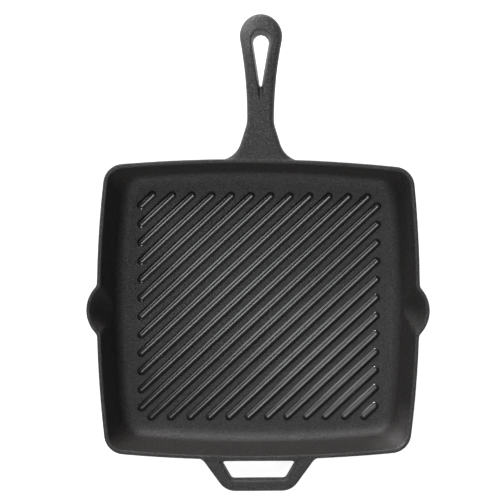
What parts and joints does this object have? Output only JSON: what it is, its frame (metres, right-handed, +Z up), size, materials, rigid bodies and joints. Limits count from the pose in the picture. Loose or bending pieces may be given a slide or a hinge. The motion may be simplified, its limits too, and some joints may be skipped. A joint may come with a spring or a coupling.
{
  "type": "grill pan",
  "caption": "Square cast-iron grill pan with bowed walls, diagonal ribs, a pour spout on each side, a long handle with a hanging slot and a short helper handle.",
  "frame": {"origin": "centre of the flat underside, on the surface that the pan stands on", "axes": "+Z up out of the pan's mouth, +Y along the long handle, +X across the pan to the right when the long handle points away"},
  "size_m": [0.297, 0.4093, 0.0558],
  "materials": {
    "seasoned_iron": "fine sand-cast skin, black seasoning, satin sheen"
  },
  "bodies": {
    "root": {"pan_body": "seasoned_iron", "pour_spout_left": "seasoned_iron", "pour_spout_right": "seasoned_iron", "long_handle": "seasoned_iron", "helper_handle": "seasoned_iron", "grill_rib_01": "seasoned_iron", "grill_rib_02": "seasoned_iron", "grill_rib_03": "seasoned_iron", "grill_rib_04": "seasoned_iron", "grill_rib_05": "seasoned_iron", "grill_rib_06": "seasoned_iron", "grill_rib_07": "seasoned_iron", "grill_rib_08": "seasoned_iron", "grill_rib_09": "seasoned_iron", "grill_rib_10": "seasoned_iron", "grill_rib_11": "seasoned_iron", "grill_rib_12": "seasoned_iron", "grill_rib_13": "seasoned_iron", "grill_rib_14": "seasoned_iron", "grill_rib_15": "seasoned_iron", "grill_rib_16": "seasoned_iron", "grill_rib_17": "seasoned_iron", "grill_rib_18": "seasoned_iron", "grill_rib_19": "seasoned_iron", "grill_rib_20": "seasoned_iron", "grill_rib_21": "seasoned_iron", "grill_rib_22": "seasoned_iron", "grill_rib_23": "seasoned_iron", "grill_rib_24": "seasoned_iron"}
  },
  "joints": []
}
